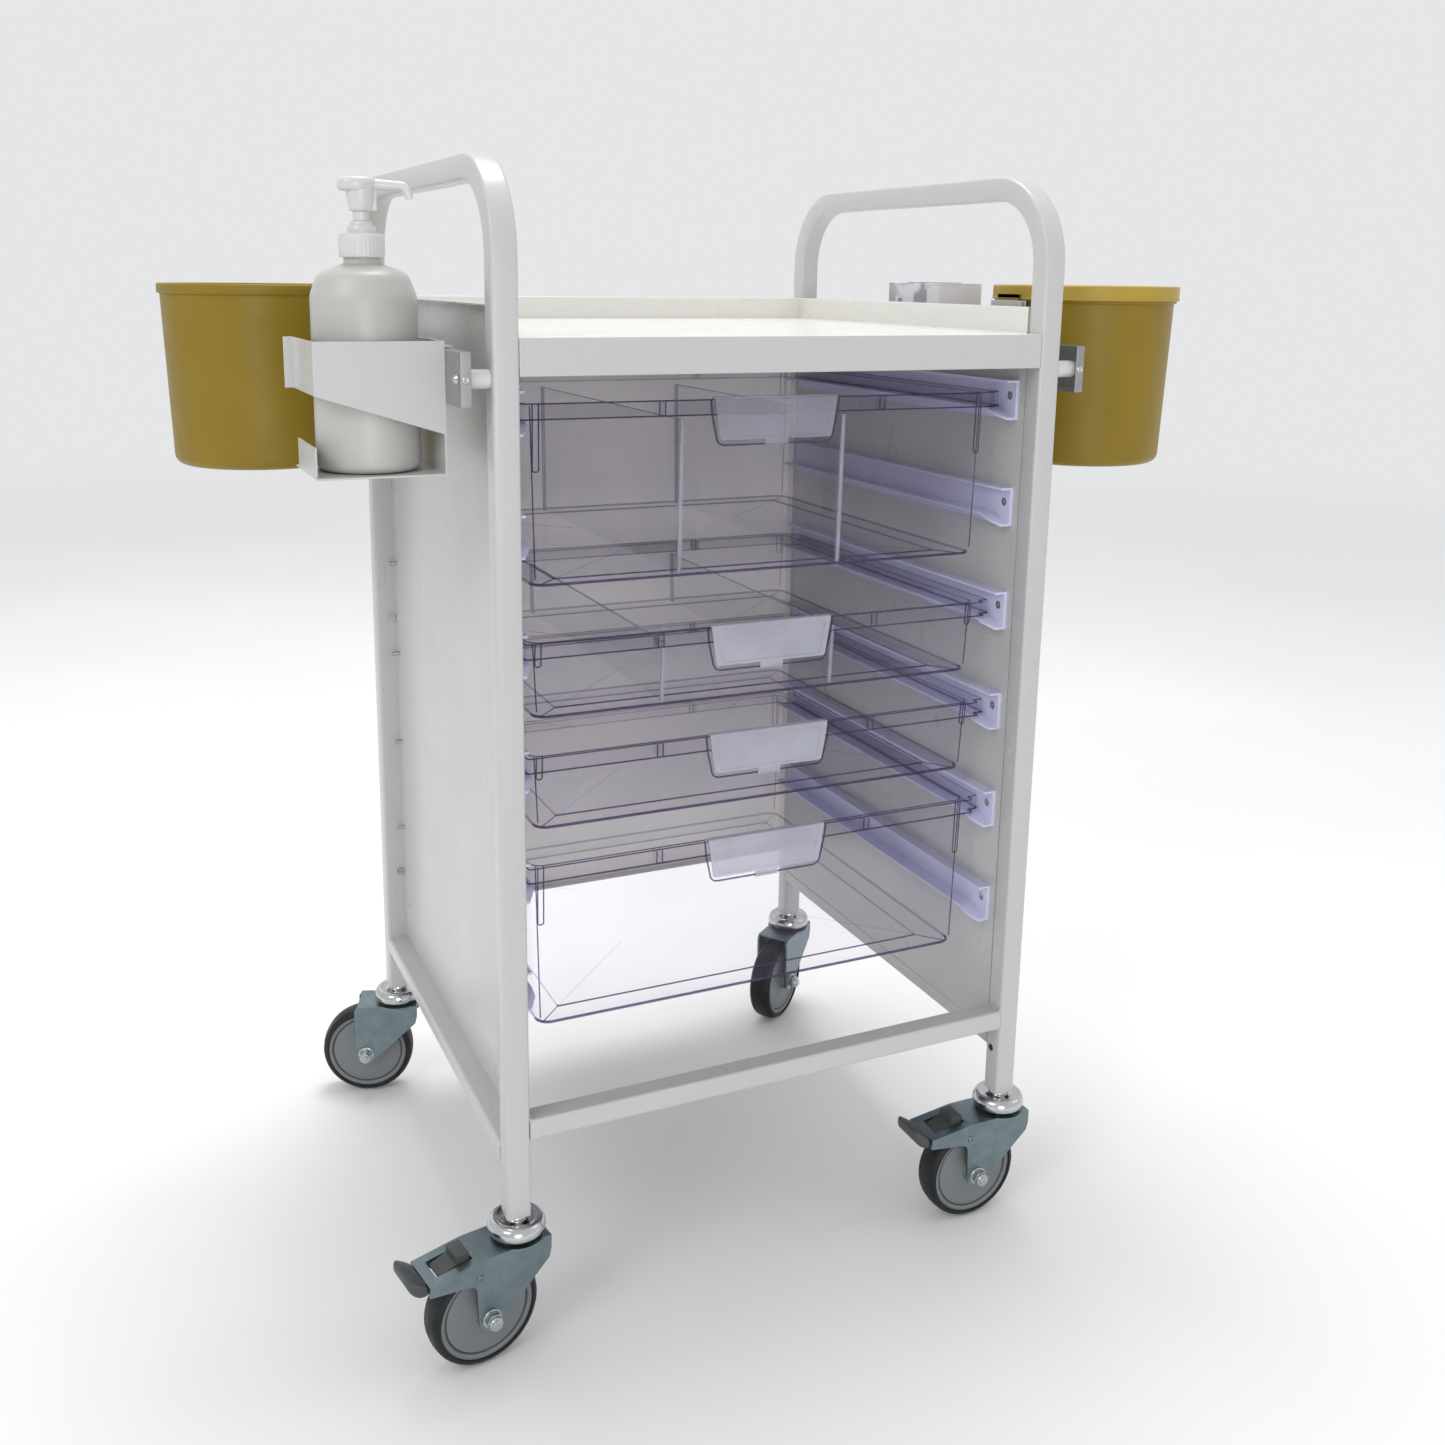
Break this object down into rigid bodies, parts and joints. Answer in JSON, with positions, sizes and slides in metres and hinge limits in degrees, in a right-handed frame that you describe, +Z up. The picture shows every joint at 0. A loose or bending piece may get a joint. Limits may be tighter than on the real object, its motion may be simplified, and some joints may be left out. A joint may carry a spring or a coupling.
{
  "type": "instrument cart",
  "caption": "Wheeled white steel instrument cart with a lipped deck, clear pull-out trays on side runners, side rails carrying waste tubs, a pump bottle and a carton.",
  "frame": {"origin": "on the floor, under the middle of the tube frame", "axes": "+Z up, +Y towards the back of the cart, +X towards the cart's right seen from the front"},
  "size_m": [0.8902, 0.5005, 0.955],
  "materials": {
    "white_powder_coat": "gloss",
    "white_runner": "satin",
    "clear_tray": "clear",
    "clear_divider": "clear",
    "clear_label": "clear",
    "frosted_label": "frosted",
    "zinc_steel": "zinc plated",
    "screw_steel": "plated",
    "chrome": "polished",
    "grey_hub": "matte",
    "black_tread": "matte",
    "dark_pedal": "matte",
    "black_plug": "matte",
    "rail_aluminium": "satin anodised",
    "white_spacer": "satin",
    "bottle_white": "satin",
    "pump_white": "gloss",
    "bin_yellow": "satin",
    "carton_board": "printed paperboard"
  },
  "bodies": {
    "frame": {"left_hoop": "white_powder_coat", "right_hoop": "white_powder_coat", "front_rail": "white_powder_coat", "side_rails": "white_powder_coat", "post_inserts": "black_plug", "deck": "white_powder_coat", "left_side_panel": "white_powder_coat", "right_side_panel": "white_powder_coat", "back_panel": "white_powder_coat", "panel_screws": "screw_steel", "left_runners": "white_runner", "right_runners": "white_runner", "runner_screws": "screw_steel", "left_accessory_rail": "rail_aluminium", "right_accessory_rail": "rail_aluminium", "rail_standoffs": "white_spacer", "rail_bolts": "screw_steel", "bottle_holder": "white_powder_coat", "bin_brackets": "white_powder_coat", "carton_holder": "white_powder_coat", "front_left_caster_cup": "chrome", "front_right_caster_cup": "chrome", "rear_left_caster_cup": "chrome", "rear_right_caster_cup": "chrome"},
    "drawer_1": {"tray_1": "clear_tray", "tray_1_label_holder": "clear_label", "tray_1_dividers": "clear_divider"},
    "drawer_2": {"tray_2": "clear_tray", "tray_2_label_holder": "frosted_label", "tray_2_dividers": "clear_divider"},
    "drawer_3": {"tray_3": "clear_tray", "tray_3_label_holder": "frosted_label"},
    "drawer_4": {"tray_4": "clear_tray", "tray_4_label_holder": "frosted_label"},
    "front_left_swivel_body": {"front_left_fork": "zinc_steel", "front_left_axle": "screw_steel"},
    "front_left_wheel": {"front_left_hub": "grey_hub", "front_left_tread": "black_tread"},
    "front_left_brake": {"front_left_brake_pedal": "dark_pedal"},
    "front_right_swivel_body": {"front_right_fork": "zinc_steel", "front_right_axle": "screw_steel"},
    "front_right_wheel": {"front_right_hub": "grey_hub", "front_right_tread": "black_tread"},
    "front_right_brake": {"front_right_brake_pedal": "dark_pedal"},
    "rear_left_swivel_body": {"rear_left_fork": "zinc_steel", "rear_left_axle": "screw_steel"},
    "rear_left_wheel": {"rear_left_hub": "grey_hub", "rear_left_tread": "black_tread"},
    "rear_right_swivel_body": {"rear_right_fork": "zinc_steel", "rear_right_axle": "screw_steel"},
    "rear_right_wheel": {"rear_right_hub": "grey_hub", "rear_right_tread": "black_tread"},
    "soap_bottle": {"bottle": "bottle_white", "pump_collar": "pump_white"},
    "pump": {"pump_head": "pump_white"},
    "left_tub": {"left_bin": "bin_yellow"},
    "right_tub": {"right_bin": "bin_yellow"},
    "tub_lid": {"right_bin_lid": "bin_yellow"},
    "supply_carton": {"carton": "carton_board"}
  },
  "joints": [
    {"name": "drawer_1_slide", "type": "slide", "parent": "frame", "child": "drawer_1", "axis": [0, -1, 0], "range_m": [0, 0.3]},
    {"name": "drawer_2_slide", "type": "slide", "parent": "frame", "child": "drawer_2", "axis": [0, -1, 0], "range_m": [0, 0.3]},
    {"name": "drawer_3_slide", "type": "slide", "parent": "frame", "child": "drawer_3", "axis": [0, -1, 0], "range_m": [0, 0.3]},
    {"name": "drawer_4_slide", "type": "slide", "parent": "frame", "child": "drawer_4", "axis": [0, -1, 0], "range_m": [0, 0.3]},
    {"name": "front_left_swivel", "type": "hinge", "parent": "frame", "child": "front_left_swivel_body", "pos_m": [-0.2375, -0.214, 0.102], "axis": [0, 0, 1], "continuous": true},
    {"name": "front_left_roll", "type": "hinge", "parent": "front_left_swivel_body", "child": "front_left_wheel", "pos_m": [-0.27, -0.21973, 0.0475], "axis": [0.1736, -0.9848, 0], "continuous": true},
    {"name": "front_left_brake_press", "type": "hinge", "parent": "front_left_swivel_body", "child": "front_left_brake", "pos_m": [-0.27886, -0.22129, 0.087], "axis": [0.1736, -0.9848, 0], "range_deg": [0, 4.5]},
    {"name": "front_right_swivel", "type": "hinge", "parent": "frame", "child": "front_right_swivel_body", "pos_m": [0.2375, -0.214, 0.102], "axis": [0, 0, 1], "continuous": true},
    {"name": "front_right_roll", "type": "hinge", "parent": "front_right_swivel_body", "child": "front_right_wheel", "pos_m": [0.2045, -0.214, 0.0475], "axis": [0, -1, 0], "continuous": true},
    {"name": "front_right_brake_press", "type": "hinge", "parent": "front_right_swivel_body", "child": "front_right_brake", "pos_m": [0.1955, -0.214, 0.087], "axis": [0, -1, 0], "range_deg": [0, 4.5]},
    {"name": "rear_left_swivel", "type": "hinge", "parent": "frame", "child": "rear_left_swivel_body", "pos_m": [-0.2375, 0.214, 0.102], "axis": [0, 0, 1], "continuous": true},
    {"name": "rear_left_roll", "type": "hinge", "parent": "rear_left_swivel_body", "child": "rear_left_wheel", "pos_m": [-0.26851, 0.22529, 0.0475], "axis": [-0.342, -0.9397, 0], "continuous": true},
    {"name": "rear_right_swivel", "type": "hinge", "parent": "frame", "child": "rear_right_swivel_body", "pos_m": [0.2375, 0.214, 0.102], "axis": [0, 0, 1], "continuous": true},
    {"name": "rear_right_roll", "type": "hinge", "parent": "rear_right_swivel_body", "child": "rear_right_wheel", "pos_m": [0.21114, 0.19414, 0.0475], "axis": [0.6018, -0.7986, 0], "continuous": true},
    {"name": "bottle_lift", "type": "slide", "parent": "frame", "child": "soap_bottle", "axis": [0, 0, 1], "range_m": [0, 0.12]},
    {"name": "pump_press", "type": "slide", "parent": "soap_bottle", "child": "pump", "axis": [0, 0, -1], "range_m": [0, 0.007], "stiffness_N_per_m": 400, "springref_m": -0.006},
    {"name": "left_tub_lift", "type": "slide", "parent": "frame", "child": "left_tub", "axis": [0, 0, 1], "range_m": [0, 0.06]},
    {"name": "right_tub_lift", "type": "slide", "parent": "frame", "child": "right_tub", "axis": [0, 0, 1], "range_m": [0, 0.06]},
    {"name": "tub_lid_lift", "type": "slide", "parent": "right_tub", "child": "tub_lid", "axis": [0, 0, 1], "range_m": [0, 0.05]},
    {"name": "carton_lift", "type": "slide", "parent": "frame", "child": "supply_carton", "axis": [0, 0, 1], "range_m": [0, 0.08]}
  ]
}
